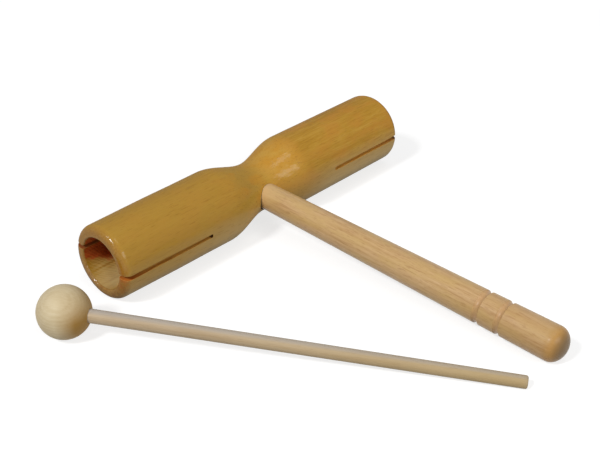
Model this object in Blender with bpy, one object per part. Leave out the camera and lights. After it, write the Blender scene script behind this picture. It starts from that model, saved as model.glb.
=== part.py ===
# Two-tone tubular woodblock with its beater, lying on a table.
#
# The block is one turned piece: a tube at each end, a slim waist between them.
# Each tube is bored from its end and sawn lengthwise through both walls, so that
# the two jaws ring. The handle's neck sits in a shallow hole in the waist, and its
# tenon is glued into a deeper bore there. The beater is a ball on a tapered stick.
#
# The tubes run along X and the handle points to -Y. The set stands on Z = 0, and
# the origin is the middle of its footprint. All sizes are in metres.

import math

import bmesh
import bpy

# Block: the turned outside
TUBE_DIAMETER = 0.0450         # where each tube leaves the ogee
LEFT_TUBE_TAPER = 0.0013       # how much thinner the left tube is at its rim
RIGHT_TUBE_TAPER = 0.0
BLOCK_LENGTH = 0.2300
WAIST_DIAMETER = 0.0312
OGEE_LENGTH = 0.0320           # from the middle of the waist to the tube
RIM_ROUND = 0.0044             # round on the outer edge of each rim
MOUTH_ROUND = 0.0012           # round on the inner edge of each rim

# Block: the two chambers
WALL_THICKNESS = 0.00725
LEFT_BORE_PAST_KERF = 0.0145   # the deeper chamber gives the lower tone
RIGHT_BORE_PAST_KERF = 0.0085
POINT_DIAMETER = 0.0060        # dimple that the drill's point leaves in the floor
POINT_DEPTH = 0.0020

# Block: the saw cuts
KERF_LENGTH = 0.0625
KERF_MOUTH = 0.0025            # width of the cut at the rim
KERF_END = 0.0020              # width of the cut at its inner end
KERF_CORNER = 0.0005           # round in the corners of the inner end
LEFT_KERF_TURN = math.radians(6.0)     # turn of the cut from the handle's plane
LEFT_KERF_RISE = 0.0021                # how far above the tube's axis the cut passes
RIGHT_KERF_TURN = math.radians(-2.8)
RIGHT_KERF_RISE = 0.0

# Handle
HANDLE_REACH = 0.2192          # from the tubes' axis to the tip
HANDLE_NECK_DIAMETER = 0.0158  # at the shoulder
HANDLE_GRIP_DIAMETER = 0.0196  # where the rounded end starts
DOME_LENGTH = 0.0077
SHOULDER_ROUND = 0.0008
TENON_DIAMETER = 0.0100
TENON_LENGTH = 0.0190
TENON_CHAMFER = 0.0010
GROOVES_FROM_TIP = (0.0491, 0.0359)
GROOVE_WIDTH = 0.0034
GROOVE_DEPTH = 0.0009

# Beater
BALL_DIAMETER = 0.0290
STICK_REACH = 0.2366           # from the ball's centre to the stick's end
STICK_BALL_DIAMETER = 0.0076   # at the ball's centre
STICK_END_DIAMETER = 0.0067
STICK_EDGE_ROUND = 0.0011
STICK_SEAT_DEPTH = 0.0060      # how far the stick runs past the ball's centre
BALL_FROM_RIM = 0.0192         # gap from the left rim to the ball
BALL_ASIDE = 0.0118            # ball's centre from the tubes' axis, on the handle's side
BEATER_HEADING = math.radians(-59.07)  # direction of the stick on the table

# Fits
SEAT_SINK = 0.0030             # depth of the neck's hole below the waist's top
JOINT_CLEARANCE = 0.0003       # gap left all round a glued joint
CUTTER_MARGIN = 0.0040         # how far a cutter runs past what it cuts

# Fineness of the round shapes
BLOCK_SIDES = 56
HANDLE_SIDES = 32
BALL_SIDES = 32
STICK_SIDES = 24
OGEE_STEPS = 8
ROUND_STEPS = 3
DOME_STEPS = 8
GROOVE_STEPS = 6
BALL_STEPS = 16

HALF_TURN = math.pi
QUARTER_TURN = math.pi / 2
tube_radius = TUBE_DIAMETER / 2
waist_radius = WAIST_DIAMETER / 2
bore_radius = tube_radius - WALL_THICKNESS
half_length = BLOCK_LENGTH / 2
shoulder_at = waist_radius - SEAT_SINK + JOINT_CLEARANCE
tenon_end_at = shoulder_at - TENON_LENGTH
ball_radius = BALL_DIAMETER / 2
ball_at = (-half_length - BALL_FROM_RIM - ball_radius, -BALL_ASIDE, ball_radius)
stick_end_radius = STICK_END_DIAMETER / 2


def clear_scene():
    for obj in list(bpy.data.objects):
        bpy.data.objects.remove(obj)


def wood(name, colour, roughness):
    material = bpy.data.materials.new(name)
    material.use_nodes = True
    shader = material.node_tree.nodes["Principled BSDF"]
    shader.inputs["Base Color"].default_value = (*colour, 1.0)
    shader.inputs["Roughness"].default_value = roughness
    shader.inputs["Metallic"].default_value = 0.0
    return material


def frame(name, location=(0, 0, 0), rotation=(0, 0, 0), parent=None):
    empty = bpy.data.objects.new(name, None)
    empty.location = location
    empty.rotation_euler = rotation
    empty.parent = parent
    bpy.context.scene.collection.objects.link(empty)
    return empty


def place(name, bm, parent, rotation=(0, 0, 0), material=None):
    """An object made from bm. Without a material it is a cutter, which isn't shown."""
    bmesh.ops.recalc_face_normals(bm, faces=bm.faces)
    mesh = bpy.data.meshes.new(name)
    bm.to_mesh(mesh)
    bm.free()
    obj = bpy.data.objects.new(name, mesh)
    obj.parent = parent
    obj.rotation_euler = rotation
    bpy.context.scene.collection.objects.link(obj)
    if material:
        mesh.materials.append(material)
        mesh.shade_smooth()
        mesh.set_sharp_from_angle(angle=math.radians(35))
    else:
        obj.hide_render = True
        obj.display_type = "WIRE"
    return obj


def turned(profile, sides):
    """A body turned about Z. The profile's (radius, height) points start and end on the axis."""
    bm = bmesh.new()
    points = [bm.verts.new((radius, 0, height)) for radius, height in profile]
    edges = [bm.edges.new(pair) for pair in zip(points, points[1:])]
    bmesh.ops.spin(
        bm, geom=points + edges, cent=(0, 0, 0), axis=(0, 0, 1),
        angle=2 * HALF_TURN, steps=sides, use_merge=True,
    )
    bmesh.ops.remove_doubles(bm, verts=bm.verts, dist=1e-6)
    return bm


def extruded(outline, half_depth):
    """A prism of an outline in X and Z, reaching half_depth to each side along Y."""
    bm = bmesh.new()
    face = bm.faces.new([bm.verts.new((x, -half_depth, z)) for x, z in outline])
    swept = bmesh.ops.extrude_face_region(bm, geom=[face])
    moved = [item for item in swept["geom"] if isinstance(item, bmesh.types.BMVert)]
    bmesh.ops.translate(bm, verts=moved, vec=(0, 2 * half_depth, 0))
    return bm


def arc(radius, height, size, start, end, steps=ROUND_STEPS):
    """Points on a quarter round of a profile, about its centre (radius, height)."""
    turns = [start + (end - start) * i / steps for i in range(steps + 1)]
    return [(radius + size * math.cos(a), height + size * math.sin(a)) for a in turns]


def block_radius(along):
    """Outside radius of the block at a distance along its axis from the waist."""
    share = min(abs(along) / OGEE_LENGTH, 1.0)
    return waist_radius + (tube_radius - waist_radius) * share * share * (3 - 2 * share)


def half_block(bore_past_kerf, taper):
    """Profile of one half of the block, from its bore's floor out and back to the waist."""
    floor = half_length - KERF_LENGTH - bore_past_kerf
    rim_radius = tube_radius - taper / 2
    points = [(0, floor - POINT_DEPTH), (POINT_DIAMETER / 2, floor), (bore_radius, floor)]
    points += arc(bore_radius + MOUTH_ROUND, half_length - MOUTH_ROUND, MOUTH_ROUND,
                  HALF_TURN, QUARTER_TURN)
    points += arc(rim_radius - RIM_ROUND, half_length - RIM_ROUND, RIM_ROUND,
                  QUARTER_TURN, 0)
    for step in range(OGEE_STEPS, 0, -1):
        along = OGEE_LENGTH * step / OGEE_STEPS
        points.append((block_radius(along), along))
    return points


def kerf_cutter(name, parent, side, turn, rise):
    """Cuts one tube lengthwise, through both walls: a slot that narrows to a square end."""
    mouth_at = half_length + CUTTER_MARGIN
    widening = (KERF_MOUTH - KERF_END) / KERF_LENGTH
    mouth_half = (KERF_MOUTH + widening * CUTTER_MARGIN) / 2
    corner_at = half_length - KERF_LENGTH + KERF_CORNER
    corner_half = KERF_END / 2 - KERF_CORNER
    outline = [(mouth_at, -mouth_half), (mouth_at, mouth_half)]
    outline += arc(corner_at, corner_half, KERF_CORNER, QUARTER_TURN, HALF_TURN)
    outline += arc(corner_at, -corner_half, KERF_CORNER, HALF_TURN, 3 * QUARTER_TURN)
    outline = [(side * x, z + rise) for x, z in outline]
    return place(name, extruded(outline, tube_radius + CUTTER_MARGIN), parent, (turn, 0, 0))


def socket_cutter(parent):
    """Cuts the handle's seat: a shallow hole for its neck and a bore for its tenon."""
    bore = TENON_DIAMETER / 2 + JOINT_CLEARANCE
    hole = HANDLE_NECK_DIAMETER / 2 + JOINT_CLEARANCE
    seat_at = shoulder_at - JOINT_CLEARANCE
    profile = [
        (0, tenon_end_at - JOINT_CLEARANCE),
        (bore, tenon_end_at - JOINT_CLEARANCE),
        (bore, seat_at),
        (hole, seat_at),
        (hole, tube_radius + CUTTER_MARGIN),
        (0, tube_radius + CUTTER_MARGIN),
    ]
    return place("socket_cutter", turned(profile, HANDLE_SIDES), parent, (QUARTER_TURN, 0, 0))


def make_block(parent, material):
    left = half_block(LEFT_BORE_PAST_KERF, LEFT_TUBE_TAPER)
    left = [(radius, -height) for radius, height in left]
    right = half_block(RIGHT_BORE_PAST_KERF, RIGHT_TUBE_TAPER)
    profile = left + [(waist_radius, 0.0)] + right[::-1]
    block = place("block_body", turned(profile, BLOCK_SIDES), parent,
                  (0, QUARTER_TURN, 0), material)
    cutters = [
        kerf_cutter("left_kerf_cutter", parent, -1, LEFT_KERF_TURN, LEFT_KERF_RISE),
        kerf_cutter("right_kerf_cutter", parent, 1, RIGHT_KERF_TURN, RIGHT_KERF_RISE),
        socket_cutter(parent),
    ]
    for cutter in cutters:
        cut = block.modifiers.new(cutter.name, "BOOLEAN")
        cut.operation = "DIFFERENCE"
        cut.solver = "EXACT"
        cut.object = cutter
    return block


def shank_radius(along):
    """Radius of the handle's plain taper at a distance from the tubes' axis."""
    dome_at = HANDLE_REACH - DOME_LENGTH
    share = (along - shoulder_at) / (dome_at - shoulder_at)
    return (HANDLE_NECK_DIAMETER + (HANDLE_GRIP_DIAMETER - HANDLE_NECK_DIAMETER) * share) / 2


def groove(middle):
    """Points of one turned groove: a smooth dip in the handle's taper."""
    points = []
    for step in range(GROOVE_STEPS + 1):
        share = step / GROOVE_STEPS
        along = middle + GROOVE_WIDTH * (share - 0.5)
        dip = GROOVE_DEPTH * math.sin(HALF_TURN * share)
        points.append((shank_radius(along) - dip, along))
    return points


def handle_profile():
    tenon = TENON_DIAMETER / 2
    neck = HANDLE_NECK_DIAMETER / 2
    points = [
        (0, tenon_end_at),
        (tenon - TENON_CHAMFER, tenon_end_at),
        (tenon, tenon_end_at + TENON_CHAMFER),
        (tenon, shoulder_at),
    ]
    points += arc(neck - SHOULDER_ROUND, shoulder_at + SHOULDER_ROUND, SHOULDER_ROUND,
                  -QUARTER_TURN, 0)
    for from_tip in GROOVES_FROM_TIP:
        points += groove(HANDLE_REACH - from_tip)
    for step in range(DOME_STEPS):
        turn = QUARTER_TURN * step / DOME_STEPS
        points.append((HANDLE_GRIP_DIAMETER / 2 * math.cos(turn),
                       HANDLE_REACH - DOME_LENGTH * (1 - math.sin(turn))))
    return points + [(0, HANDLE_REACH)]


def resting_dip(profile, height):
    """Angle by which a turned piece dips from a height until its profile meets the table."""
    dips = []
    for radius, along in profile:
        far = math.hypot(radius, along)
        if along > height:
            dips.append(math.asin(height / far) - math.atan2(radius, along))
    return min(dips)


def stick_radius(along):
    """Radius of the beater's stick at a distance from the ball's centre."""
    share = along / STICK_REACH
    return (STICK_BALL_DIAMETER + (STICK_END_DIAMETER - STICK_BALL_DIAMETER) * share) / 2


def stick_profile():
    points = [(0, -STICK_SEAT_DEPTH), (stick_radius(-STICK_SEAT_DEPTH), -STICK_SEAT_DEPTH)]
    points += arc(stick_end_radius - STICK_EDGE_ROUND, STICK_REACH - STICK_EDGE_ROUND,
                  STICK_EDGE_ROUND, 0, QUARTER_TURN)
    return points + [(0, STICK_REACH)]


def head_profile():
    """The ball, bored along Z for the stick: round the outside, then down the bore."""
    mouth_at = math.sqrt(ball_radius ** 2 - (STICK_BALL_DIAMETER / 2) ** 2)
    mouth_radius = stick_radius(mouth_at) + JOINT_CLEARANCE
    floor_at = -STICK_SEAT_DEPTH - JOINT_CLEARANCE
    floor_radius = stick_radius(floor_at) + JOINT_CLEARANCE
    mouth_turn = math.acos(mouth_radius / ball_radius)
    points = arc(0, 0, ball_radius, -QUARTER_TURN, mouth_turn, BALL_STEPS)
    points[0] = (0, -ball_radius)
    return points + [(floor_radius, floor_at), (0, floor_at)]


def make_handle(parent, material):
    return place("handle", turned(handle_profile(), HANDLE_SIDES), parent,
                 (QUARTER_TURN, 0, 0), material)


def make_beater(parent, head_wood, stick_wood):
    head = place("beater_head", turned(head_profile(), BALL_SIDES), parent, material=head_wood)
    stick = place("beater_stick", turned(stick_profile(), STICK_SIDES), parent,
                  material=stick_wood)
    return [head, stick]


def footprint_middle(pieces):
    """Middle of the pieces' box on the table."""
    bpy.context.view_layer.update()
    points = [piece.matrix_world @ vertex.co
              for piece in pieces for vertex in piece.data.vertices]
    return [(min(p[i] for p in points) + max(p[i] for p in points)) / 2 for i in (0, 1)]


def main():
    clear_scene()
    block_wood = wood("block_wood", (0.50, 0.27, 0.055), 0.30)
    handle_wood = wood("handle_wood", (0.58, 0.37, 0.17), 0.38)
    head_wood = wood("head_wood", (0.66, 0.51, 0.32), 0.65)
    stick_wood = wood("stick_wood", (0.60, 0.42, 0.26), 0.60)

    middle = frame("set_middle")
    dip = resting_dip(handle_profile(), tube_radius)
    block_axis = frame("block_axis", (0, 0, tube_radius), (dip, 0, 0), middle)
    lean = resting_dip(stick_profile(), ball_radius)
    beater_axis = frame("beater_axis", ball_at,
                        (0, QUARTER_TURN + lean, BEATER_HEADING), middle)

    pieces = [make_block(block_axis, block_wood), make_handle(block_axis, handle_wood)]
    pieces += make_beater(beater_axis, head_wood, stick_wood)
    across, along = footprint_middle(pieces)
    middle.location = (-across, -along, 0)
    bpy.context.view_layer.update()


main()
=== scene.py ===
# Two-tone tubular woodblock with its handle and its beater, dressed over the CAD frame.
import math

import bmesh
import bpy
import numpy as np
from mathutils import Matrix, Vector


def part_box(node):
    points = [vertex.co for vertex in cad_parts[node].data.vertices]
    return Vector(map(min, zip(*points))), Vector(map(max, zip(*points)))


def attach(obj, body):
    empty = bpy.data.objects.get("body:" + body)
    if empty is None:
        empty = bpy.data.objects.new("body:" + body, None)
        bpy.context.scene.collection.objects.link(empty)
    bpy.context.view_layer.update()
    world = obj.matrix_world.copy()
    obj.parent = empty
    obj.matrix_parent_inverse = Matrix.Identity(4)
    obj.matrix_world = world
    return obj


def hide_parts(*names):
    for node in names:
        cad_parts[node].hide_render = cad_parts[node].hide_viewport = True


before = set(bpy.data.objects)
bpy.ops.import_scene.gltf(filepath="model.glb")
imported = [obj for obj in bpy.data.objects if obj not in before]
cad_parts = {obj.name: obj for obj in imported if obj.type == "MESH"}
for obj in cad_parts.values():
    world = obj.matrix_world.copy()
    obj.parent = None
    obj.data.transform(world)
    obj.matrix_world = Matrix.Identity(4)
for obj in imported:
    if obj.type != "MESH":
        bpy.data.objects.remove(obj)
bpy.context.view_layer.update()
scene = bpy.context.scene
mm = 0.001
print("frame loaded:", ", ".join(sorted(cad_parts)))


# node helpers: a value goes on the socket, a socket gets linked
def put(tree, kind, inputs=None, **props):
    node = tree.nodes.new(kind)
    for key, value in props.items():
        setattr(node, key, value)
    for key, value in (inputs or {}).items():
        if isinstance(value, bpy.types.NodeSocket):
            tree.links.new(value, node.inputs[key])
        else:
            node.inputs[key].default_value = value
    return node


def calc(tree, operation, a, b=0.0, clamp=False):
    return put(tree, "ShaderNodeMath", {0: a, 1: b}, operation=operation, use_clamp=clamp).outputs[0]


def weightedSum(tree, fields, weights):
    total = calc(tree, "MULTIPLY", fields[0], weights[0])
    for field, weight in zip(fields[1:], weights[1:]):
        inputs = {0: field, 1: weight, 2: total}
        total = put(tree, "ShaderNodeMath", inputs, operation="MULTIPLY_ADD").outputs[0]
    return total


def rgba(colour):
    return colour if isinstance(colour, bpy.types.NodeSocket) else (*colour, 1)


def mixColour(tree, factor, a, b):
    inputs = {0: factor, 6: rgba(a), 7: rgba(b)}
    return put(tree, "ShaderNodeMix", inputs, data_type="RGBA").outputs[2]


def ramp(tree, factor, *stops):
    # each stop is a place and a grey or a colour
    node = put(tree, "ShaderNodeValToRGB", {"Fac": factor})
    marks = node.color_ramp.elements
    while len(marks) < len(stops):
        marks.new(0.5)
    for mark, (place, value) in zip(marks, stops):
        mark.position = place
        mark.color = (value, value, value, 1) if isinstance(value, float) else (*value, 1)
    return node.outputs["Color"]


def toneRamp(tree, tone, finish):
    names = ("deep", "body", "light")
    return ramp(tree, tone, *[(place, finish[name]) for place, name in zip(finish["stops"], names)])


def fade(tree, field, start, end, low=0.0, high=1.0, shape="LINEAR"):
    # low up to where the field is at start, high from where it is at end; both ends are in mm
    inputs = {0: field, 1: start * mm, 2: end * mm, 3: low, 4: high}
    return put(tree, "ShaderNodeMapRange", inputs, interpolation_type=shape).outputs[0]


def splitAxes(tree, coords):
    return list(put(tree, "ShaderNodeSeparateXYZ", {0: coords}).outputs)


def stretched(tree, coords, along, squeeze, shift=(0, 0, 0)):
    # coordinates that run slowly along the grain, so that every noise turns into streaks
    scale = [1.0, 1.0, 1.0]
    scale["XYZ".index(along)] = squeeze
    node = put(tree, "ShaderNodeMapping", {"Vector": coords, "Location": shift, "Scale": scale})
    return node.outputs["Vector"]


def noise(tree, coords, size, detail=2.0, rough=0.5):
    # size is the width of a blotch, in mm
    inputs = {"Vector": coords, "Scale": 1000.0 / size, "Detail": detail, "Roughness": rough}
    return put(tree, "ShaderNodeTexNoise", inputs).outputs["Fac"]


def grain(tree, coords, along, squeeze, width, detail=2.0, rough=0.5, shift=(0, 0, 0)):
    # noise drawn out along the grain; width is that of a streak, in mm
    return noise(tree, stretched(tree, coords, along, squeeze, shift), width, detail, rough)


def flecks(tree, coords, along, squeeze, width, share, shift=(0, 0, 0)):
    # short dark dashes: pores and rays that the turning has cut through
    detail, rough, edge = 1.0, 0.4, 0.09
    field = grain(tree, coords, along, squeeze, width, detail, rough, shift)
    return ramp(tree, field, (share, 0.0), (share + edge, 1.0))


def yearRings(tree, coords, along, pith, spacing, wander):
    # year rings about a pith outside the piece, sliced by the turned surface
    squeeze, plainSpacing = 0.06, 314.0      # the wave's rings are 314 mm apart at a scale of 1
    inputs = {"Vector": stretched(tree, coords, along, squeeze, pith), "Scale": plainSpacing / spacing,
              "Distortion": wander, "Detail": 2.0, "Detail Scale": 0.6, "Detail Roughness": 0.5}
    node = put(tree, "ShaderNodeTexWave", inputs, wave_type="RINGS", rings_direction=along)
    return node.outputs["Fac"]


def attribute(tree, name):
    return put(tree, "ShaderNodeAttribute", attribute_name=name).outputs["Fac"]


def startMaterial(name):
    mat = bpy.data.materials.new(name)
    mat.use_nodes = True
    tree = mat.node_tree
    coords = put(tree, "ShaderNodeTexCoord").outputs["Object"]
    return mat, tree, tree.nodes["Principled BSDF"], coords


def setGloss(tree, shader, field, finish):
    # the roughness follows the grain; most of the grain's field lies between 0.3 and 0.7
    low, high = finish["roughness"]
    gloss = put(tree, "ShaderNodeMapRange", {0: field, 1: 0.3, 2: 0.7, 3: low, 4: high}).outputs[0]
    tree.links.new(gloss, shader.inputs["Roughness"])
    shader.inputs["Coat Weight"].default_value = finish.get("coat", 0.0)
    shader.inputs["Coat Roughness"].default_value = finish.get("coatRoughness", 0.03)
    shader.inputs["Specular IOR Level"].default_value = finish["specular"]


def setBump(tree, shader, height, strength, distance):
    node = put(tree, "ShaderNodeBump", {"Height": height, "Strength": strength, "Distance": distance * mm})
    tree.links.new(node.outputs["Normal"], shader.inputs["Normal"])
    tree.links.new(node.outputs["Normal"], shader.inputs["Coat Normal"])


# In every finish: a fade is from and to in mm, then the shares there. Grain is its squeeze, the width of
# a streak in mm, detail, roughness and shift. Rings are pith, spacing and wander; weights mix the grain.
lacquer = {
    "deep": (0.360, 0.172, 0.010), "body": (0.436, 0.228, 0.021), "light": (0.495, 0.276, 0.037),
    "stops": (0.385, 0.50, 0.615), "weights": (0.25, 0.42, 0.28, 0.05),
    "streak": (0.05, 2.4, 3.0, 0.55), "fibre": (0.07, 0.7, 3.0, 0.6), "slow": (0.35, 24),
    "rings": ((0, 0.031, -0.052), 3.4, 5.0),
    "pore": (0.215, 0.080, 0.004), "pores": (0.08, 0.45, 0.62), "poreShare": 0.35,
    "warm": (0.480, 0.217, 0.025), "warmGrain": (0.5, 9, 3.0, 0.5, (0.3, 0.1, 0.2)),
    "warmStops": ((0.42, 0.0), (0.62, 0.7)),
    "olive": (0.384, 0.216, 0.030), "oliveFade": (20, -50, 0.0, 0.7),
    # the lower left ogee's tone is partly painted light
    "slopeLeftToneWithPaintedLight": (0.580, 0.350, 0.050), "slopeLeftTop": (0.428, 0.250, 0.034),
    "slopeRight": (0.455, 0.230, 0.018), "slopeRightTop": (0.570, 0.322, 0.058),
    "sideFade": (-8, 8), "topFade": (4, 13), "slopeShare": 0.6,
    "amber": (0.500, 0.232, 0.018), "amberGrain": (0.6, 8, 3.0, 0.5, (0.7, 0.2, 0.4)),
    "amberStops": ((0.46, 0.0), (0.62, 0.6)),
    # painted light from the pale floor on the lower flank
    "flankPaintedFloorLight": (0.600, 0.440, 0.200), "flankPaintedFloorLightFade": (9, -7, 0.0, 0.75),
    # painted shade on the underside
    "underPaintedShade": (0.400, 0.300, 0.150), "underPaintedShadeFade": (-7, -13, 0.0, 0.6),
    "flankLightFrom": -100, "flankLightTo": 100,      # the painted floor light is stronger at the left shoulder and the right end
    "flankLightStops": ((0.12, 0.4), (0.33, 0.85), (0.47, 0.35), (0.62, 0.4), (0.75, 1.0)),
    "rimDeep": (0.270, 0.114, 0.003), "rim": (0.330, 0.168, 0.026), "rimStops": (0.35, 0.62),
    "rimDots": 0.8, "rimShare": 0.85,
    # painted shade at the rim's lower back
    "rimPaintedShade": (0.205, 0.104, 0.016), "rimPaintedShadeFade": (17, 25, 0.0, 0.35),
    "rimBrown": (0.225, 0.080, 0.002), "rimBrownFade": (2, -12, 0.2, 1.0), "mottle": (2.4, 3.0),
    "mottleStops": ((0.50, 0.0), (0.62, 0.8)),
    "lip": (0.410, 0.130, 0.016), "lipBlots": (2.5, 3.0), "lipStops": ((0.36, 0.0), (0.56, 0.9)),
    "worn": (0.520, 0.280, 0.080), "wornBlots": (6, 3.0),
    "roughness": (0.26, 0.38), "specular": 0.0, "coat": 0.12, "coatIor": 2.0, "coatRoughness": 0.12,
    "rimCoat": 0.24, "rimCoatUp": (-4, 8), "rimCoatBack": (0, 10),
    "ripple": (0.4, 1.8, 2.0, 0.5, (0.15, 0.35, 0.25)), "heights": (0.6, -1.0, 20.0), "bump": (0.16, 0.06),
}


def slopeColour(tree, along, up):
    # the ogees: more golden on the right, and another tone on top; the lower left one is lighter with
    # painted light
    high = fade(tree, up, *lacquer["topFade"])
    left = mixColour(tree, high, lacquer["slopeLeftToneWithPaintedLight"], lacquer["slopeLeftTop"])
    right = mixColour(tree, high, lacquer["slopeRight"], lacquer["slopeRightTop"])
    return mixColour(tree, fade(tree, along, *lacquer["sideFade"]), left, right)


def rimColour(tree, coords, across, up):
    # dotted end grain, with painted shade at the lower back, and mottled with brown below
    dots = noise(tree, coords, lacquer["rimDots"])
    colour = ramp(tree, dots, *zip(lacquer["rimStops"], (lacquer["rimDeep"], lacquer["rim"])))
    # painted shade towards the lower back
    corner = fade(tree, calc(tree, "SUBTRACT", across, up), *lacquer["rimPaintedShadeFade"])
    colour = mixColour(tree, corner, colour, lacquer["rimPaintedShade"])
    mottle = ramp(tree, noise(tree, coords, *lacquer["mottle"]), *lacquer["mottleStops"])
    mottle = calc(tree, "MULTIPLY", mottle, fade(tree, up, *lacquer["rimBrownFade"]))
    return mixColour(tree, mottle, colour, lacquer["rimBrown"])


def makeLacquer():
    # golden stain under satin lacquer, grain along X
    mat, tree, shader, coords = startMaterial("golden lacquer")
    along, across, up = splitAxes(tree, coords)
    names = ("streak", "fibre", "slow")
    streak, fibre, slow = [grain(tree, coords, "X", *lacquer[name]) for name in names]
    rings = yearRings(tree, coords, "X", *lacquer["rings"])
    pores = flecks(tree, coords, "X", *lacquer["pores"])
    colour = toneRamp(tree, weightedSum(tree, (streak, fibre, slow, rings), lacquer["weights"]), lacquer)
    warm = ramp(tree, grain(tree, coords, "X", *lacquer["warmGrain"]), *lacquer["warmStops"])
    colour = mixColour(tree, warm, colour, lacquer["warm"])
    # the left half has turned more olive
    colour = mixColour(tree, fade(tree, along, *lacquer["oliveFade"]), colour, lacquer["olive"])
    slope = attribute(tree, "slope")
    share = calc(tree, "MULTIPLY", slope, lacquer["slopeShare"])
    colour = mixColour(tree, share, colour, slopeColour(tree, along, up))
    amber = ramp(tree, grain(tree, coords, "X", *lacquer["amberGrain"]), *lacquer["amberStops"])
    colour = mixColour(tree, calc(tree, "MULTIPLY", slope, amber), colour, lacquer["amber"])
    # painted light and reflection of the pale floor: the lower flank is paler and greyer
    flankLightSpread = ramp(tree, fade(tree, along, lacquer["flankLightFrom"], lacquer["flankLightTo"]), *lacquer["flankLightStops"])
    flankPaintedFloorLight = calc(tree, "MULTIPLY", fade(tree, up, *lacquer["flankPaintedFloorLightFade"]), flankLightSpread)
    colour = mixColour(tree, flankPaintedFloorLight, colour, lacquer["flankPaintedFloorLight"])
    # painted shade on the underside, below the flank
    colour = mixColour(tree, fade(tree, up, *lacquer["underPaintedShadeFade"]), colour, lacquer["underPaintedShade"])
    colour = mixColour(tree, calc(tree, "MULTIPLY", pores, lacquer["poreShare"]), colour, lacquer["pore"])
    # the end grain of the rims drinks more stain, most of all beside the cuts
    rim = attribute(tree, "rim")
    share = calc(tree, "MULTIPLY", rim, lacquer["rimShare"])
    colour = mixColour(tree, share, colour, rimColour(tree, coords, across, up))
    blots = ramp(tree, noise(tree, coords, *lacquer["lipBlots"]), *lacquer["lipStops"])
    lip = calc(tree, "MULTIPLY", attribute(tree, "lip"), blots)
    colour = mixColour(tree, lip, colour, lacquer["lip"])
    blots = noise(tree, coords, *lacquer["wornBlots"])
    worn = calc(tree, "MULTIPLY", attribute(tree, "edge"), blots, clamp=True)
    colour = mixColour(tree, worn, colour, lacquer["worn"])
    tree.links.new(colour, shader.inputs["Base Color"])
    setGloss(tree, shader, streak, lacquer)
    shader.inputs["Coat IOR"].default_value = lacquer["coatIor"]
    # the lacquer has stayed thicker on the rims' upper and far sides
    kept = fade(tree, up, *lacquer["rimCoatUp"])
    kept = calc(tree, "MAXIMUM", kept, fade(tree, across, *lacquer["rimCoatBack"]))
    coats = {0: calc(tree, "MULTIPLY", rim, kept), 3: lacquer["coat"], 4: lacquer["rimCoat"]}
    tree.links.new(put(tree, "ShaderNodeMapRange", coats).outputs[0], shader.inputs["Coat Weight"])
    ripple = grain(tree, coords, "X", *lacquer["ripple"])
    height = weightedSum(tree, (fibre, pores, ripple), lacquer["heights"])
    setBump(tree, shader, height, *lacquer["bump"])
    return mat


boreFinish = {
    "deep": (0.430, 0.215, 0.038), "body": (0.580, 0.355, 0.084), "light": (0.645, 0.440, 0.140),
    "stops": (0.38, 0.50, 0.63), "weights": (0.75, 0.25, 0.045), "streak": (0.05, 1.8, 4.0, 0.6),
    "wobble": (7, 3.0), "markSpacing": 2.2, "markTurns": 44, "markWobble": 14.0,
    # the pale bottom is painted light
    "bare": (0.610, 0.480, 0.250), "bottomPaintedLightFade": (-11.5, -15, 0.0, 0.45),
    "mouth": (0.360, 0.175, 0.006), "mouthAt": 110.0,      # distance from the waist
    "mouthFade": (2.5, -3.5, 0.0, 0.8), "wallFade": (-14.5, -10.5, 0.3, 1.0),
    # the red-brown is partly stain, partly painted shadow of the upper rim
    "stainShadowDeep": (0.370, 0.045, 0.006), "stain": (0.530, 0.098, 0.018), "stainShadowStops": (0.41, 0.59),
    "stainShadowFade": (-7.2, -4.6, 0.0, 0.92), "shadowClimb": 0.35, "shadowRagged": 7.0,
    "roughness": 0.62, "specular": 0.10, "bump": (0.35, 0.10),
}


def makeBore():
    # stained bore, partly painted shadow inside, with the tool's marks, which climb round it in a steep
    # screw
    mat, tree, shader, coords = startMaterial("drilled bore")
    along, across, up = splitAxes(tree, coords)
    around = calc(tree, "ARCTAN2", up, across)
    wobble = noise(tree, coords, *boreFinish["wobble"])
    streak = grain(tree, coords, "X", *boreFinish["streak"])
    pitch = 2 * math.pi / (boreFinish["markSpacing"] * mm)
    screw = (pitch, boreFinish["markTurns"], boreFinish["markWobble"])
    marks = calc(tree, "SINE", weightedSum(tree, (along, around, wobble), screw))
    tone = weightedSum(tree, (streak, wobble, marks), boreFinish["weights"])
    colour = toneRamp(tree, tone, boreFinish)
    # painted light: the bottom of the mouth is paler where the lamp reaches in, and its walls are browner
    colour = mixColour(tree, fade(tree, up, *boreFinish["bottomPaintedLightFade"]), colour, boreFinish["bare"])
    depth = calc(tree, "SUBTRACT", boreFinish["mouthAt"] * mm, calc(tree, "ABSOLUTE", along))
    mouth = fade(tree, depth, *boreFinish["mouthFade"])
    mouth = calc(tree, "MULTIPLY", mouth, fade(tree, up, *boreFinish["wallFade"]))
    colour = mixColour(tree, mouth, colour, boreFinish["mouth"])
    # red-brown stain in the depth and on the upper walls, partly painted shadow of the upper rim, with a
    # ragged edge that comes lower with depth
    ragged = calc(tree, "ADD", calc(tree, "SUBTRACT", wobble, 0.5), calc(tree, "SUBTRACT", streak, 0.5))
    climb = (1.0, boreFinish["shadowClimb"], boreFinish["shadowRagged"] * mm)
    height = weightedSum(tree, (up, depth, ragged), climb)
    stainShadowed = fade(tree, height, *boreFinish["stainShadowFade"], shape="SMOOTHSTEP")
    stain = ramp(tree, tone, *zip(boreFinish["stainShadowStops"], (boreFinish["stainShadowDeep"], boreFinish["stain"])))
    colour = mixColour(tree, stainShadowed, colour, stain)
    tree.links.new(colour, shader.inputs["Base Color"])
    shader.inputs["Roughness"].default_value = boreFinish["roughness"]
    shader.inputs["Specular IOR Level"].default_value = boreFinish["specular"]
    setBump(tree, shader, calc(tree, "ADD", marks, streak), *boreFinish["bump"])
    return mat


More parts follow.
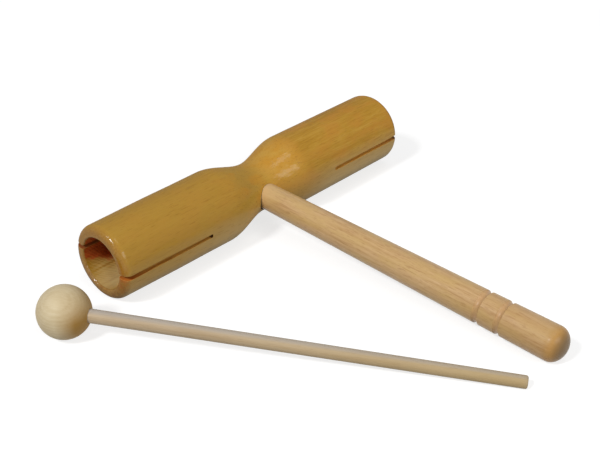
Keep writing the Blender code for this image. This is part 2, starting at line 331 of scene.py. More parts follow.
kerfFinish = {
    "deep": (0.300, 0.105, 0.013), "body": (0.480, 0.216, 0.032), "light": (0.550, 0.300, 0.065),
    "stops": (0.32, 0.50, 0.70), "streak": (0.06, 1.2, 3.0, 0.6), "wobble": (3, 2.0),
    "toothSpacing": 1.1, "toothLean": 0.35, "toothWobble": 8.0, "toothTone": 0.06,
    # the right cut's lighter faces are painted light
    "rightPaintedLight": (0.740, 0.370, 0.060), "rightPaintedLightShare": 0.7,
    "mouth": (0.285, 0.050, 0.004), "mouthFade": (94, 110, 0.0, 0.8),      # distance from the waist
    "mouthSides": (50, -50, 0.4, 1.0),
    # the right cut's mouth is a near-black painted shade
    "rust": (0.440, 0.140, 0.022), "rustBack": (0.235, 0.072, 0.020), "rightMouthPaintedShade": (0.030, 0.012, 0.006),
    "rustFade": (110.5, 112.5, 0.0, 0.7),
    # painted shade at the left cut's inner end
    "leftEndPaintedShade": (0.075, 0.026, 0.003), "leftEndPaintedShadeFade": (54, 53.2),
    "roughness": 0.72, "specular": 0.10, "bump": (0.3, 0.08),
}


def makeKerf():
    # bare sawn faces: the blade's strokes stand across the grain
    mat, tree, shader, coords = startMaterial("sawn kerf")
    along, across = splitAxes(tree, coords)[:2]
    wobble = noise(tree, coords, *kerfFinish["wobble"])
    streak = grain(tree, coords, "X", *kerfFinish["streak"])
    pitch = 2 * math.pi / (kerfFinish["toothSpacing"] * mm)
    stroke = (pitch, pitch * kerfFinish["toothLean"], kerfFinish["toothWobble"])
    strokes = calc(tree, "SINE", weightedSum(tree, (along, across, wobble), stroke))
    tone = calc(tree, "ADD", streak, calc(tree, "MULTIPLY", strokes, kerfFinish["toothTone"]))
    colour = toneRamp(tree, tone, kerfFinish)
    # the right cut is lighter: painted light against its deep shade
    rightHalf = calc(tree, "GREATER_THAN", along, 0.0)
    rightPaintedLight = calc(tree, "MULTIPLY", rightHalf, kerfFinish["rightPaintedLightShare"])
    colour = mixColour(tree, rightPaintedLight, colour, kerfFinish["rightPaintedLight"])
    # stain has run in at the mouths, more of it on the left
    outward = calc(tree, "ABSOLUTE", along)
    mouth = fade(tree, outward, *kerfFinish["mouthFade"])
    mouth = calc(tree, "MULTIPLY", mouth, fade(tree, along, *kerfFinish["mouthSides"]))
    colour = mixColour(tree, mouth, colour, kerfFinish["mouth"])
    # at the rims' lips: red-brown, darker at the back, and a near-black painted shade at the right cut's
    # mouth
    backHalf = calc(tree, "GREATER_THAN", across, 0.0)
    rust = mixColour(tree, backHalf, kerfFinish["rust"], kerfFinish["rustBack"])
    rust = mixColour(tree, rightHalf, rust, kerfFinish["rightMouthPaintedShade"])
    colour = mixColour(tree, fade(tree, outward, *kerfFinish["rustFade"]), colour, rust)
    # painted shade at the inner end of the left cut
    leftHalf = calc(tree, "LESS_THAN", along, 0.0)
    leftEndPaintedShade = calc(tree, "MULTIPLY", leftHalf, fade(tree, outward, *kerfFinish["leftEndPaintedShadeFade"]))
    colour = mixColour(tree, leftEndPaintedShade, colour, kerfFinish["leftEndPaintedShade"])
    tree.links.new(colour, shader.inputs["Base Color"])
    shader.inputs["Roughness"].default_value = kerfFinish["roughness"]
    shader.inputs["Specular IOR Level"].default_value = kerfFinish["specular"]
    setBump(tree, shader, calc(tree, "ADD", strokes, streak), *kerfFinish["bump"])
    return mat


paleLacquer = {
    "deep": (0.430, 0.250, 0.100), "body": (0.538, 0.342, 0.158), "light": (0.605, 0.405, 0.210),
    "stops": (0.375, 0.50, 0.625), "weights": (0.28, 0.38, 0.29, 0.05),
    "streak": (0.04, 1.5, 3.0, 0.55), "fibre": (0.06, 0.5, 3.0, 0.6), "slow": (0.25, 15),
    "rings": ((0.024, 0.030, 0), 2.6, 4.0),
    "yellow": (0.545, 0.362, 0.138), "yellowGrain": (0.3, 6, 3.0, 0.5, (0.2, 0.5, 0.1)),
    "yellowStops": ((0.42, 0.0), (0.62, 0.6)),
    "fleck": (0.370, 0.195, 0.070), "fleckShare": 0.50, "rays": (0.11, 0.65, 0.60),
    "fineRays": (0.16, 0.45, 0.62, (0.4, 0.2, 0.1)), "fineShare": 0.7,
    "groove": (0.500, 0.290, 0.135), "grooveShare": 0.6,
    # the paler neck is painted light, the browner grip end painted shade
    "neck": (0.630, 0.414, 0.192), "neckPaintedLightFade": (28, 14, 0.0, 0.5), "gripPaintedShadeFade": (160, 205, 0.0, 0.25),
    "tip": (0.405, 0.200, 0.036), "tipEnd": (0.185, 0.113, 0.046), "tipStops": (0.60, 0.92),
    "tipShares": ((0.22, 0.0), (0.78, 0.95)),
    "roughness": (0.34, 0.48), "specular": 0.25, "coat": 0.10, "coatRoughness": 0.25,
    "heights": (0.6, -0.7), "bump": (0.10, 0.06),
}


def makePaleLacquer():
    # clear-lacquered pale wood with short ray flecks, grain along Z
    mat, tree, shader, coords = startMaterial("clear lacquer")
    names = ("streak", "fibre", "slow")
    streak, fibre, slow = [grain(tree, coords, "Z", *paleLacquer[name]) for name in names]
    rings = yearRings(tree, coords, "Z", *paleLacquer["rings"])
    tone = weightedSum(tree, (streak, fibre, slow, rings), paleLacquer["weights"])
    colour = toneRamp(tree, tone, paleLacquer)
    yellow = ramp(tree, grain(tree, coords, "Z", *paleLacquer["yellowGrain"]), *paleLacquer["yellowStops"])
    colour = mixColour(tree, yellow, colour, paleLacquer["yellow"])
    rays = flecks(tree, coords, "Z", *paleLacquer["rays"])
    fine = flecks(tree, coords, "Z", *paleLacquer["fineRays"])
    dark = calc(tree, "MAXIMUM", rays, calc(tree, "MULTIPLY", fine, paleLacquer["fineShare"]))
    share = calc(tree, "MULTIPLY", dark, paleLacquer["fleckShare"])
    colour = mixColour(tree, share, colour, paleLacquer["fleck"])
    share = calc(tree, "MULTIPLY", attribute(tree, "groove"), paleLacquer["grooveShare"])
    colour = mixColour(tree, share, colour, paleLacquer["groove"])
    # painted light: paler at the neck, beside the block; painted shade: a little browner towards the grip's
    # end
    along = splitAxes(tree, coords)[2]
    colour = mixColour(tree, fade(tree, along, *paleLacquer["neckPaintedLightFade"]), colour, paleLacquer["neck"])
    colour = mixColour(tree, fade(tree, along, *paleLacquer["gripPaintedShadeFade"]), colour, paleLacquer["fleck"])
    # the stain goes deepest into the end grain of the dome
    tip = attribute(tree, "tip")
    stain = ramp(tree, tip, *zip(paleLacquer["tipStops"], (paleLacquer["tip"], paleLacquer["tipEnd"])))
    colour = mixColour(tree, ramp(tree, tip, *paleLacquer["tipShares"]), colour, stain)
    tree.links.new(colour, shader.inputs["Base Color"])
    setGloss(tree, shader, streak, paleLacquer)
    height = weightedSum(tree, (fibre, dark), paleLacquer["heights"])
    setBump(tree, shader, height, *paleLacquer["bump"])
    return mat


bareBall = {
    "deep": (0.535, 0.422, 0.246), "body": (0.598, 0.490, 0.305), "light": (0.637, 0.531, 0.349),
    "stops": (0.34, 0.50, 0.66), "weights": (0.42, 0.50, 0.08),
    "streak": (0.08, 0.8, 3.0, 0.6), "slow": (0.6, 10), "rings": ((0.035, 0.022, 0), 1.9, 2.0),
    "pore": (0.460, 0.323, 0.167), "pores": (0.14, 0.4, 0.62), "poreShare": 0.22,
    # the end grain's brown is strongest below: painted shade
    "endGrain": (0.328, 0.178, 0.036), "poleFade": (0.5, 10), "lowPaintedShadeFade": (-15, -1, 0.1, 1.0),
    "roughness": (0.52, 0.66), "specular": 0.30, "bump": (0.12, 0.05),
}
bareStick = {
    "deep": (0.378, 0.270, 0.155), "body": (0.440, 0.332, 0.206), "light": (0.480, 0.378, 0.252),
    "stops": (0.33, 0.50, 0.67), "weights": (0.44, 0.46, 0.10),
    "streak": (0.05, 0.7, 3.0, 0.6), "slow": (0.12, 7), "rings": ((0.012, 0.016, 0), 1.5, 2.5),
    "pore": (0.310, 0.200, 0.100), "pores": (0.08, 0.4, 0.62), "poreShare": 0.30,
    "far": (0.395, 0.276, 0.112), "farFade": (60, 220, 0.0, 0.7),
    # the grey on top is a painted sheen
    "grey": (0.403, 0.373, 0.340), "topPaintedSheenFade": (-2.7, -3.8, 0.0, 0.80),
    "endGrain": (0.380, 0.290, 0.180), "endShare": 0.7,
    "roughness": (0.50, 0.62), "specular": 0.40, "bump": (0.12, 0.05),
}


def bareWood(tree, coords, finish):
    # bare sanded wood, grain along Z
    streak, slow = [grain(tree, coords, "Z", *finish[name]) for name in ("streak", "slow")]
    rings = yearRings(tree, coords, "Z", *finish["rings"])
    pores = flecks(tree, coords, "Z", *finish["pores"])
    colour = toneRamp(tree, weightedSum(tree, (streak, slow, rings), finish["weights"]), finish)
    return colour, streak, pores


def closeBareWood(tree, shader, colour, streak, pores, finish):
    tree.links.new(colour, shader.inputs["Base Color"])
    setGloss(tree, shader, streak, finish)
    setBump(tree, shader, calc(tree, "SUBTRACT", streak, pores), *finish["bump"])


def makeBareBall():
    mat, tree, shader, coords = startMaterial("bare ball")
    colour, streak, pores = bareWood(tree, coords, bareBall)
    share = calc(tree, "MULTIPLY", pores, bareBall["poreShare"])
    colour = mixColour(tree, share, colour, bareBall["pore"])
    # brown on the stick's side: end grain, with painted shade that makes it fade towards the top, which is
    # -X here
    down, along = splitAxes(tree, coords)[::2]
    endGrainAndShade = fade(tree, along, *bareBall["poleFade"])
    endGrainAndShade = calc(tree, "MULTIPLY", endGrainAndShade, fade(tree, down, *bareBall["lowPaintedShadeFade"]))
    colour = mixColour(tree, endGrainAndShade, colour, bareBall["endGrain"])
    closeBareWood(tree, shader, colour, streak, pores, bareBall)
    return mat


def makeBareStick():
    mat, tree, shader, coords = startMaterial("bare stick")
    colour, streak, pores = bareWood(tree, coords, bareStick)
    # browner towards the far end, and a painted grey sheen on the top, which is -X here
    down, along = splitAxes(tree, coords)[::2]
    colour = mixColour(tree, fade(tree, along, *bareStick["farFade"]), colour, bareStick["far"])
    colour = mixColour(tree, fade(tree, down, *bareStick["topPaintedSheenFade"]), colour, bareStick["grey"])
    share = calc(tree, "MULTIPLY", pores, bareStick["poreShare"])
    colour = mixColour(tree, share, colour, bareStick["pore"])
    end = calc(tree, "MULTIPLY", attribute(tree, "tip"), bareStick["endShare"])
    colour = mixColour(tree, end, colour, bareStick["endGrain"])
    closeBareWood(tree, shader, colour, streak, pores, bareStick)
    return mat


print("finishes ready")


# mesh helpers
def showPiece(name, mesh, place, body, node):
    piece = bpy.data.objects.new(name, mesh)
    scene.collection.objects.link(piece)
    piece.matrix_world = place
    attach(piece, body)
    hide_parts(node)
    smooth = piece.modifiers.new("even normals", "WEIGHTED_NORMAL")
    smooth.mode = "FACE_AREA"
    smooth.keep_sharp = True
    print(name, "has", len(mesh.polygons), "faces")


def closeMesh(name, bm, materials, sharp):
    weld, sliver = 0.002 * mm, 0.001 * mm
    bmesh.ops.remove_doubles(bm, verts=bm.verts, dist=weld)
    bmesh.ops.dissolve_degenerate(bm, edges=bm.edges, dist=sliver)
    bmesh.ops.recalc_face_normals(bm, faces=bm.faces)
    mesh = bpy.data.meshes.new(name)
    bm.to_mesh(mesh)
    bm.free()
    for mat in materials:
        mesh.materials.append(mat)
    mesh.shade_smooth()
    mesh.set_sharp_from_angle(angle=math.radians(sharp))
    return mesh


def turn(name, profile, sides, material, masks, sharp=40):
    # profile: (radius, height) in mm, from the axis round to the axis
    # masks: a name and one value for each point of the profile
    bm = bmesh.new()
    layers = {key: bm.verts.layers.float.new(key) for key in masks}
    rings = []
    for i, (radius, height) in enumerate(profile):
        count = sides if radius > 0 else 1
        ring = []
        for j in range(count):
            a = 2 * math.pi * j / sides
            vert = bm.verts.new((radius * math.cos(a) * mm, radius * math.sin(a) * mm, height * mm))
            for key, layer in layers.items():
                vert[layer] = masks[key][i]
            ring.append(vert)
        rings.append(ring)
    for low, high in zip(rings, rings[1:]):
        for j in range(sides):
            k = (j + 1) % sides
            corners = [low[j % len(low)], low[k % len(low)], high[k % len(high)], high[j % len(high)]]
            bm.faces.new(list(dict.fromkeys(corners)))
    return closeMesh(name, bm, [material], sharp)


def roundCorner(centre, size, start, end, steps):
    turns = np.radians(np.linspace(start, end, steps + 1))
    return [(centre[0] + size * math.cos(a), centre[1] + size * math.sin(a)) for a in turns]


block = {
    "tubeRadius": 22.5, "halfLength": 115.0, "waistRadius": 15.6, "ogee": 32.0, "wall": 7.25,
    "rimRound": 4.4, "mouthRound": 1.2, "dip": 3.4473,
    "boreDepth": (77.0, 71.0), "taper": (0.65, 0.0),      # left, right; the taper is lost radius at the rim
    "floorRound": 0.6, "floorRings": (9.0, 3.0), "dimple": 2.0,
    "kerfTurn": (6.0, -2.8), "kerfRise": (2.1, 0.0),      # the cuts are a little off the axis
    "kerfLength": 62.5, "kerfMouth": 2.5, "kerfEnd": 2.0,
    "kerfSquare": 4.0,      # 2 is a round inner end, more is squarer
    "kerfEase": 0.25,
    "easeSteps": ((0.2929, 0.7071), (1.0, 1.0)),      # the lip's fall and shift at 45 and 90 degrees
    "spareWidth": 1.2, "spareGrowth": 1.3,      # the columns that close in before the cut starts
    "seat": 12.6, "seatRadius": 8.3, "seatShift": (-0.3, -0.3), "seatTop": 30.0, "seatSides": 96,
    "socketRadius": 5.6, "socketFloor": -6.4,
    "columns": 44, "bentColumns": 6,      # the columns beside a cut bend with its end
    "ogeeRings": 26, "tubeRings": 6, "tipRings": 8, "kerfRings": 16, "roundRings": 9, "deepRings": 5,
    "rimStain": (3.5, 3.0), "slopeGain": 2.5, "lipColumns": 9, "lipShares": {"up": 0.4, "down": 1.0},
    "mouthWear": 0.3, "mouthZone": (0.1, 1.5), "easeWear": (1.0, 0.4), "sharp": 55,
}
boreRadius = block["tubeRadius"] - block["wall"]
kerfCentre = block["halfLength"] - block["kerfLength"] + block["kerfEnd"] / 2
kerfTip = block["kerfEnd"] / 2 + block["kerfEase"]      # half the end's width at the surface
kerfStart = kerfCentre - kerfTip
tiny, slack = 1e-6, 0.01


def kerfWidth(d):
    # half the width of the cut at the surface, d mm from the waist
    if d < kerfStart + tiny:
        return min(block["spareWidth"], block["spareGrowth"] * max(kerfStart - d, 0.0))
    if d < kerfCentre:
        power = block["kerfSquare"]
        return kerfTip * max(1 - ((kerfCentre - d) / kerfTip) ** power, 0.0) ** (1 / power)
    share = (d - kerfCentre) / (block["halfLength"] - kerfCentre)
    return (block["kerfEnd"] + (block["kerfMouth"] - block["kerfEnd"]) * share) / 2 + block["kerfEase"]


def kerfNormal(d):
    if d >= kerfCentre:
        return 0.0, 1.0
    power = block["kerfSquare"] - 1
    slant = ((kerfCentre - d) / kerfTip) ** power, (kerfWidth(d) / kerfTip) ** power
    size = math.hypot(*slant)
    return -slant[0] / size, slant[1] / size


def ogeeRadius(d):
    t = min(d / block["ogee"], 1.0)
    return block["waistRadius"] + (block["tubeRadius"] - block["waistRadius"]) * t * t * (3 - 2 * t)


def halfPath(depth, taper):
    # round one half: waist, tube, rim, bore, floor. Each ring has d beside the cut, d elsewhere,
    # r, the profile's normal (along, out) and whether the saw has been there
    end, big, small = block["halfLength"], block["rimRound"], block["mouthRound"]
    rim, power = block["tubeRadius"] - taper, 2 / block["kerfSquare"]
    bends = np.linspace(0, math.pi / 2, block["tipRings"] + 1)[:-1]
    tip = [kerfCentre - kerfTip * math.cos(a) ** power for a in bends]

    def tube(d):
        return block["tubeRadius"] - taper * (d - block["ogee"]) / (end - big - block["ogee"])

    def sawn(stop, radius, out):
        beside = tip + list(np.linspace(kerfCentre, stop, block["kerfRings"])[:-1])
        plain = np.linspace(kerfStart, stop, len(beside) + 1)[:-1]
        return [(d, e, radius(d), 0, out, True) for d, e in zip(beside, plain)]

    quarter = np.linspace(0, math.pi / 2, block["roundRings"])
    stations = np.linspace(0, block["ogee"], block["ogeeRings"] + 1)
    outer = [(d, d, ogeeRadius(d), 0, 1, False) for d in stations]
    stations = np.linspace(block["ogee"], kerfStart, block["tubeRings"] + 2)[1:-1]
    outer += [(d, d, tube(d), 0, 1, False) for d in stations]
    outer += sawn(end - big, tube, 1)
    for a in quarter:
        d, r = end - big + big * math.sin(a), rim - big + big * math.cos(a)
        outer.append((d, d, r, math.sin(a), math.cos(a), True))
    inner = sawn(end - small, lambda d: boreRadius, -1)
    for a in quarter:
        d, r = end - small + small * math.sin(a), boreRadius + small - small * math.cos(a)
        inner.append((d, d, r, math.sin(a), -math.cos(a), True))
    floor, ease = end - depth, block["floorRound"]
    stations = np.linspace(kerfStart, floor + ease, block["deepRings"] + 1)[1:]
    deep = [(d, d, boreRadius, 0, -1, False) for d in stations]
    deep += [(floor, floor, r, 1, 0, False) for r in (boreRadius - ease, *block["floorRings"])]
    return outer, inner, deep, floor


def buildHalf(bm, layers, side):
    sided = ("boreDepth", "taper", "kerfTurn", "kerfRise")
    depth, taper, twist, rise = [block[key][side > 0] for key in sided]
    outer, inner, deep, floor = halfPath(depth, taper)
    path = outer + inner[::-1] + deep
    n = block["columns"]
    past, deepest = block["mouthZone"]
    mouthEdge, mouthFrom = boreRadius + block["mouthRound"] + past, block["halfLength"] - deepest
    steepest = 0.95      # sine of the largest angle that a cut may take from the grid

    # the grid's twist and lift to this cut's own plane happen over the ogee
    def at(d, y, z):
        a = math.radians(twist) * min(d / block["ogee"], 1.0)
        return Vector((side * d, y * math.cos(a) - z * math.sin(a), y * math.sin(a) + z * math.cos(a))) * mm

    def lift(d):
        return rise * min(d / block["ogee"], 1.0)

    # masks for the finish: the stained rim and its lips, the ogee, worn edges
    def mark(vert, d, r, edge=0.0, lip=0.0):
        inside = r < boreRadius + slack
        reach, length = block["rimStain"]
        slope = min(1.0, block["slopeGain"] * (1 - d / block["ogee"]))
        rim = 0.0 if inside else max(0.0, min(1.0, (d - block["halfLength"] + reach) / length))
        vert[layers["rim"]] = rim
        vert[layers["lip"]] = rim * lip
        vert[layers["slope"]] = 0.0 if inside else max(0.0, slope)
        vert[layers["edge"]] = edge
        return vert

    rings = []
    for beside, plain, r, along, out, sawn in path:
        atMouth = boreRadius < r < mouthEdge and beside > mouthFrom
        high = lift(beside)
        ring = {"up": [], "down": []}
        for jaw, sign in (("up", 1), ("down", -1)):
            first = math.asin(min((kerfWidth(beside) + sign * high) / r, steepest))
            for j in range(n + 1):
                a = first + (math.pi - 2 * first) * j / n
                d = plain + (beside - plain) * max(0.0, 1 - min(j, n - j) / block["bentColumns"]) ** 2
                vert = bm.verts.new(at(d, -r * math.cos(a), sign * r * math.sin(a)))
                lip = max(0.0, 1 - j / block["lipColumns"]) * block["lipShares"][jaw]
                ring[jaw].append(mark(vert, d, r, block["mouthWear"] * atMouth, lip))
        if not sawn or abs(beside - kerfStart) < tiny:
            y = math.sqrt(r * r - high * high)
            ring["front"] = mark(bm.verts.new(at(beside, -y, high)), beside, r)
            ring["back"] = mark(bm.verts.new(at(beside, y, high)), beside, r)
        rings.append(ring)

    def face(corners, finish):
        corners = list(dict.fromkeys(corners))
        spots = {tuple(round(c / mm, 3) for c in v.co) for v in corners}
        if len(spots) > 2:
            bm.faces.new(corners).material_index = finish

    # the finish changes inside the mouth, at the foot of its round
    boreFrom = len(outer) + block["roundRings"] - 1
    for k in range(len(path) - 1):
        a, b = rings[k], rings[k + 1]
        finish = 0 if k < boreFrom else 1
        for jaw in ("up", "down"):
            for j in range(n):
                face((a[jaw][j], a[jaw][j + 1], b[jaw][j + 1], b[jaw][j]), finish)
        if "front" in a and "front" in b:
            for mid, j in (("front", 0), ("back", n)):
                face((a["up"][j], a[mid], b[mid], b["up"][j]), finish)
                face((a[mid], a["down"][j], b["down"][j], b[mid]), finish)
    # the bore's floor, with the dimple of the drill's point
    last = rings[-1]
    loop = [last["front"]] + last["up"] + [last["back"]] + last["down"][::-1]
    point = mark(bm.verts.new(at(floor - block["dimple"], 0, 0)), floor, 0)
    for p, q in zip(loop, loop[1:] + loop[:1]):
        face((p, q, point), 1)

    # eased lips and flat sides of the saw cut, for both walls and both jaws
    ease = block["kerfEase"]
    half = len(inner)
    cut = outer[-half:] + inner[::-1]
    firstCut = len(outer) - half
    for wall, j in (("front", 0), ("back", n)):
        for jaw, sign in (("up", 1), ("down", -1)):
            strip = []
            for k, (d, plain, r, along, out, sawn) in enumerate(cut):
                kd, kz = kerfNormal(d)
                w = kerfWidth(d)
                rows = [rings[firstCut + k][jaw][j]]
                for (fall, shift), wear in zip(block["easeSteps"], block["easeWear"]):
                    dd = d - ease * (fall * along + shift * kd)
                    rr = r - ease * fall * out
                    z = lift(d) + sign * max(w - ease * shift * kz, 0.0)
                    y = math.sqrt(rr * rr - z * z)
                    spot = at(dd, -y if wall == "front" else y, z)
                    rows.append(mark(bm.verts.new(spot), d, r, wear))
                strip.append(rows)
            for p, q in zip(strip, strip[1:]):
                face((p[0], q[0], q[1], p[1]), 0)
                face((p[1], q[1], q[2], p[2]), 2)
            for k in range(half - 1):
                back = len(strip) - 1 - k
                face((strip[k][2], strip[k + 1][2], strip[back - 1][2], strip[back][2]), 2)


def makeBlock(materials):
    bm = bmesh.new()
    layers = {key: bm.verts.layers.float.new(key) for key in ("rim", "slope", "edge", "lip")}
    for side in (-1, 1):
        buildHalf(bm, layers, side)
    return closeMesh("blockBody", bm, materials, block["sharp"])


def cutSeat(piece, materials):
    # hole for the handle's neck, and below it a blind bore for the tenon
    seat, top, floor = block["seat"], block["seatTop"], block["socketFloor"]
    wide, narrow = block["seatRadius"], block["socketRadius"]
    profile = [(0, floor), (narrow, floor), (narrow, seat), (wide, seat), (wide, top), (0, top)]
    mesh = turn("seatCutter", profile, block["seatSides"], materials[2], {})
    # the cutter carries the block's finishes, so that the hole comes out as bare as the cuts
    mesh.materials.clear()
    for mat in materials:
        mesh.materials.append(mat)
    for polygon in mesh.polygons:
        polygon.material_index = 2
    across, up = block["seatShift"]      # the hole is a little wide on the lower left
    mesh.transform(Matrix.Translation((across * mm, 0, up * mm)) @ Matrix.Rotation(math.pi / 2, 4, "X"))
    cutter = bpy.data.objects.new("seatCutter", mesh)
    scene.collection.objects.link(cutter)
    cut = piece.modifiers.new("seat", "BOOLEAN")
    cut.operation = "DIFFERENCE"
    cut.solver = "EXACT"
    cut.object = cutter
    bpy.context.view_layer.update()
    done = bpy.data.meshes.new_from_object(piece.evaluated_get(bpy.context.evaluated_depsgraph_get()))
    bpy.data.objects.remove(cutter)
    done.shade_smooth()
    done.set_sharp_from_angle(angle=math.radians(block["sharp"]))
    return done


blockLow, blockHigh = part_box("block_body")
blockSpot = (blockLow + blockHigh) / 2
blockSpot.z = block["tubeRadius"] * mm
blockPlace = Matrix.Translation(blockSpot) @ Matrix.Rotation(math.radians(block["dip"]), 4, "X")
blockFinishes = [makeLacquer(), makeBore(), makeKerf()]
holder = bpy.data.objects.new("holder", makeBlock(blockFinishes))
scene.collection.objects.link(holder)
blockMesh = cutSeat(holder, blockFinishes)
bpy.data.objects.remove(holder)
showPiece("blockBody", blockMesh, blockPlace, "woodblock", "block_body")


handle = {
    "reach": 219.2, "shoulder": 12.9, "neckRadius": 7.9, "gripRadius": 9.8, "dome": 7.7,
    "shoulderRound": 0.9, "tenonRadius": 5.0, "tenonLength": 19.0, "tenonChamfer": 1.0,
    "grooves": (49.1, 35.9), "grooveWidth": 3.4, "grooveDepth": 0.95,      # the grooves from the tip
    "lipReach": 0.66, "lipSoft": (0.16, 4, 0.4), "tipStain": 12.5,
    "sides": 96, "cornerRings": 7, "shankFrom": 4.0, "shankRings": 26, "grooveRings": 23, "middleRings": 4,
    "gripRings": 15, "domeRings": 18, "sharp": 50,
}


def shankRadius(s):
    start, end = handle["shoulder"], handle["reach"] - handle["dome"]
    neck, grip = handle["neckRadius"], handle["gripRadius"]
    return neck + (grip - neck) * (s - start) / (end - start)


def tipMask(s):
    return max(0.0, 1 - (handle["reach"] - s) / handle["tipStain"])


def grooveRows(spot):
    # a round-bottomed groove with eased lips
    width, near = handle["grooveWidth"], handle["lipReach"]
    rise, steep, share = handle["lipSoft"]
    rows = []
    for t in np.linspace(-near, near, handle["grooveRings"]):
        dip = math.sqrt(max(1 - (2 * t) ** 2, 0.0))
        soft = max(0.0, rise - steep * abs(abs(t) - 0.5)) * share
        s = spot + t * width
        rows.append((shankRadius(s) - handle["grooveDepth"] * min(dip + soft, 1.0), s, dip, 0))
    return rows


def makeHandle(material):
    # rows of radius, height, groove mask and tip mask
    neck, tenon, ease = handle["neckRadius"], handle["tenonRadius"], handle["shoulderRound"]
    shoulder, reach, gap = handle["shoulder"], handle["reach"], handle["grooveWidth"]
    foot, chamfer = shoulder - handle["tenonLength"], handle["tenonChamfer"]
    rows = [(0, foot, 0, 1), (tenon - chamfer, foot, 0, 1)]
    rows += [(tenon, foot + chamfer, 0, 0), (tenon, shoulder, 0, 0)]
    corner = roundCorner((neck - ease, shoulder + ease), ease, -90, 0, handle["cornerRings"])
    rows += [(r, s, 0, 0) for r, s in corner]
    first, second = [reach - groove for groove in handle["grooves"]]
    shank = np.linspace(shoulder + handle["shankFrom"], first - gap, handle["shankRings"])
    middle = np.linspace(first + gap, second - gap, handle["middleRings"])
    rows += [(shankRadius(s), s, 0, 0) for s in shank]
    rows += grooveRows(first)
    rows += [(shankRadius(s), s, 0, 0) for s in middle]
    rows += grooveRows(second)
    start = reach - handle["dome"]
    grip = np.linspace(second + gap, start, handle["gripRings"] + 1)[:-1]
    rows += [(shankRadius(s), s, 0, tipMask(s)) for s in grip]
    for a in np.radians(np.linspace(0, 90, handle["domeRings"] + 1)[:-1]):
        s = start + handle["dome"] * math.sin(a)
        rows.append((handle["gripRadius"] * math.cos(a), s, 0, tipMask(s)))
    rows.append((0, reach, 0, 1))
    masks = {"groove": [row[2] for row in rows], "tip": [row[3] for row in rows]}
    profile = [row[:2] for row in rows]
    return turn("handleShank", profile, handle["sides"], material, masks, handle["sharp"])


handlePlace = blockPlace @ Matrix.Rotation(math.pi / 2, 4, "X")
showPiece("handleShank", makeHandle(makePaleLacquer()), handlePlace, "woodblock", "handle")


beater = {
    "ballRadius": 14.5, "stickReach": 236.6, "stickAtBall": 3.8, "stickAtEnd": 3.35, "seatDepth": 6.0,
    "clearance": 0.06, "heading": -59.07, "lean": 2.7146,
    "mouthWiden": 0.15, "mouthSteps": ((0.04, 0.06), (0.0, 0.2)),      # the bore's lip: out and down
    "endRound": 1.1, "endPlain": 2.5, "endGrainRadius": 1.5, "endMask": 0.4,
    "ballSides": 96, "ballRings": 60, "stickSides": 48, "stickRings": 40, "endRings": 8, "stickSharp": 50,
}


def stickRadius(s):
    start, end = beater["stickAtBall"], beater["stickAtEnd"]
    return start + (end - start) * s / beater["stickReach"]


def makeBall(material):
    size, gap = beater["ballRadius"], beater["clearance"]
    mouth = math.degrees(math.acos((stickRadius(size) + gap + beater["mouthWiden"]) / size))
    rows = roundCorner((0, 0), size, -90, mouth, beater["ballRings"])
    rows[0] = (0, -size)
    lip = rows[-1][1]
    rows += [(stickRadius(lip) + gap + out, lip - down) for out, down in beater["mouthSteps"]]
    floor = -beater["seatDepth"] - gap
    rows += [(stickRadius(floor) + gap, floor), (0, floor)]
    return turn("beaterBall", rows, beater["ballSides"], material, {})


def makeStick(material):
    # rows of radius, height and tip mask
    foot, end, ease = -beater["seatDepth"], beater["stickReach"], beater["endRound"]
    rows = [(0, foot, 0), (stickRadius(foot), foot, 0)]
    rows += [(stickRadius(s), s, 0) for s in np.linspace(0, end - beater["endPlain"], beater["stickRings"])]
    corner = roundCorner((stickRadius(end) - ease, end - ease), ease, 0, 90, beater["endRings"])
    rows += [(r, s, beater["endMask"]) for r, s in corner]
    rows += [(beater["endGrainRadius"], end, 1), (0, end, 1)]
    profile = [row[:2] for row in rows]
    masks = {"tip": [row[2] for row in rows]}
    return turn("beaterStick", profile, beater["stickSides"], material, masks, beater["stickSharp"])


ballLow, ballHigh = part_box("beater_head")
ballSpot = (ballLow + ballHigh) / 2
ballSpot.z = beater["ballRadius"] * mm
beaterPlace = Matrix.Translation(ballSpot) @ Matrix.Rotation(math.radians(beater["heading"]), 4, "Z")
beaterPlace = beaterPlace @ Matrix.Rotation(math.radians(90 + beater["lean"]), 4, "Y")
showPiece("beaterBall", makeBall(makeBareBall()), beaterPlace, "beater", "beater_head")
showPiece("beaterStick", makeStick(makeBareStick()), beaterPlace, "beater", "beater_stick")


studio = {
    "floorColour": (0.40, 0.40, 0.40), "floorRoughness": 0.9, "floorSize": 8.0,
    "floorGlow": (0.72, 1.0), "glowReach": (500, 3500), "skyLight": 0.22,
    "keyFrom": (-2.24, 0.08, 2.36), "keySize": (0.50, 0.50), "keyPower": 60.5,
    "fillFrom": (-0.30, -2.46, 1.49), "fillSize": (1.9, 1.0), "fillPower": 33.5,
    "topFrom": (0.26, -0.60, 2.50), "topSize": (0.5, 0.7), "topPower": 5.5,
}


def aimLamp(name):
    lamp = bpy.data.lights.new(name + "Lamp", "AREA")
    lamp.shape = "RECTANGLE"
    lamp.size, lamp.size_y = studio[name + "Size"]
    lamp.energy = studio[name + "Power"]
    obj = bpy.data.objects.new(name + "Lamp", lamp)
    obj.location = studio[name + "From"]
    obj.rotation_euler = (-obj.location).to_track_quat("-Z", "Y").to_euler()
    scene.collection.objects.link(obj)


def seenDirectly(tree):
    # 1 for rays from the camera, a mirror or glass
    path = put(tree, "ShaderNodeLightPath")
    direct = calc(tree, "MAXIMUM", path.outputs["Is Camera Ray"], path.outputs["Is Glossy Ray"])
    return calc(tree, "MAXIMUM", direct, path.outputs["Is Transmission Ray"])


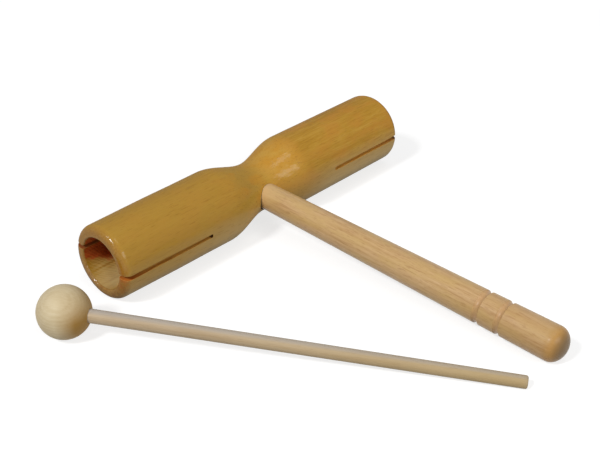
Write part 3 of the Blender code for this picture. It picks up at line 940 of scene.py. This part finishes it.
def makeSky():
    world = bpy.data.worlds.new("studio")
    scene.world = world
    world.use_nodes = True
    tree = world.node_tree
    levels = {0: seenDirectly(tree), 3: studio["skyLight"], 4: 1.0}
    sky = tree.nodes["Background"]
    sky.inputs["Color"].default_value = (1, 1, 1, 1)
    tree.links.new(put(tree, "ShaderNodeMapRange", levels).outputs[0], sky.inputs["Strength"])


def makeFloor():
    half = studio["floorSize"] / 2
    corners = [(-half, -half, 0), (half, -half, 0), (half, half, 0), (-half, half, 0)]
    mesh = bpy.data.meshes.new("floor")
    mesh.from_pydata(corners, [], [(0, 1, 2, 3)])
    floor = bpy.data.objects.new("floor", mesh)
    scene.collection.objects.link(floor)
    mat, tree, shader, coords = startMaterial("pale floor")
    shader.inputs["Base Color"].default_value = rgba(studio["floorColour"])
    shader.inputs["Roughness"].default_value = studio["floorRoughness"]
    shader.inputs["Specular IOR Level"].default_value = 0.0
    shader.inputs["Emission Color"].default_value = (1, 1, 1, 1)
    # the glow rises where the lamps no longer reach, so the floor stays white to the horizon
    reach = put(tree, "ShaderNodeVectorMath", {0: coords}, operation="LENGTH").outputs["Value"]
    glow = fade(tree, reach, *studio["glowReach"], *studio["floorGlow"])
    glow = calc(tree, "MULTIPLY", seenDirectly(tree), glow)
    tree.links.new(glow, shader.inputs["Emission Strength"])
    mesh.materials.append(mat)


makeSky()
makeFloor()
for lampName in ("key", "fill", "top"):
    aimLamp(lampName)

# the photograph's view: place in metres, angles in degrees, lens in mm
shot = {
    "place": (-0.37359, -0.31547, 0.33262), "pan": 46.8060, "tilt": 30.4705, "roll": -1.0435,
    "lens": 64.4619, "sensor": 36.0, "near": 0.02,
}
view = bpy.data.cameras.new("photoView")
view.sensor_width = shot["sensor"]
view.lens = shot["lens"]
view.clip_start = shot["near"]
camera = bpy.data.objects.new("photoView", view)
aim = Matrix.Rotation(math.radians(-shot["pan"]), 4, "Z")
aim = aim @ Matrix.Rotation(math.radians(90 - shot["tilt"]), 4, "X")
aim = aim @ Matrix.Rotation(math.radians(shot["roll"]), 4, "Z")
camera.matrix_world = Matrix.Translation(shot["place"]) @ aim
scene.collection.objects.link(camera)
scene.camera = camera
scene.view_settings.view_transform = "Standard"
print("studio and camera ready")
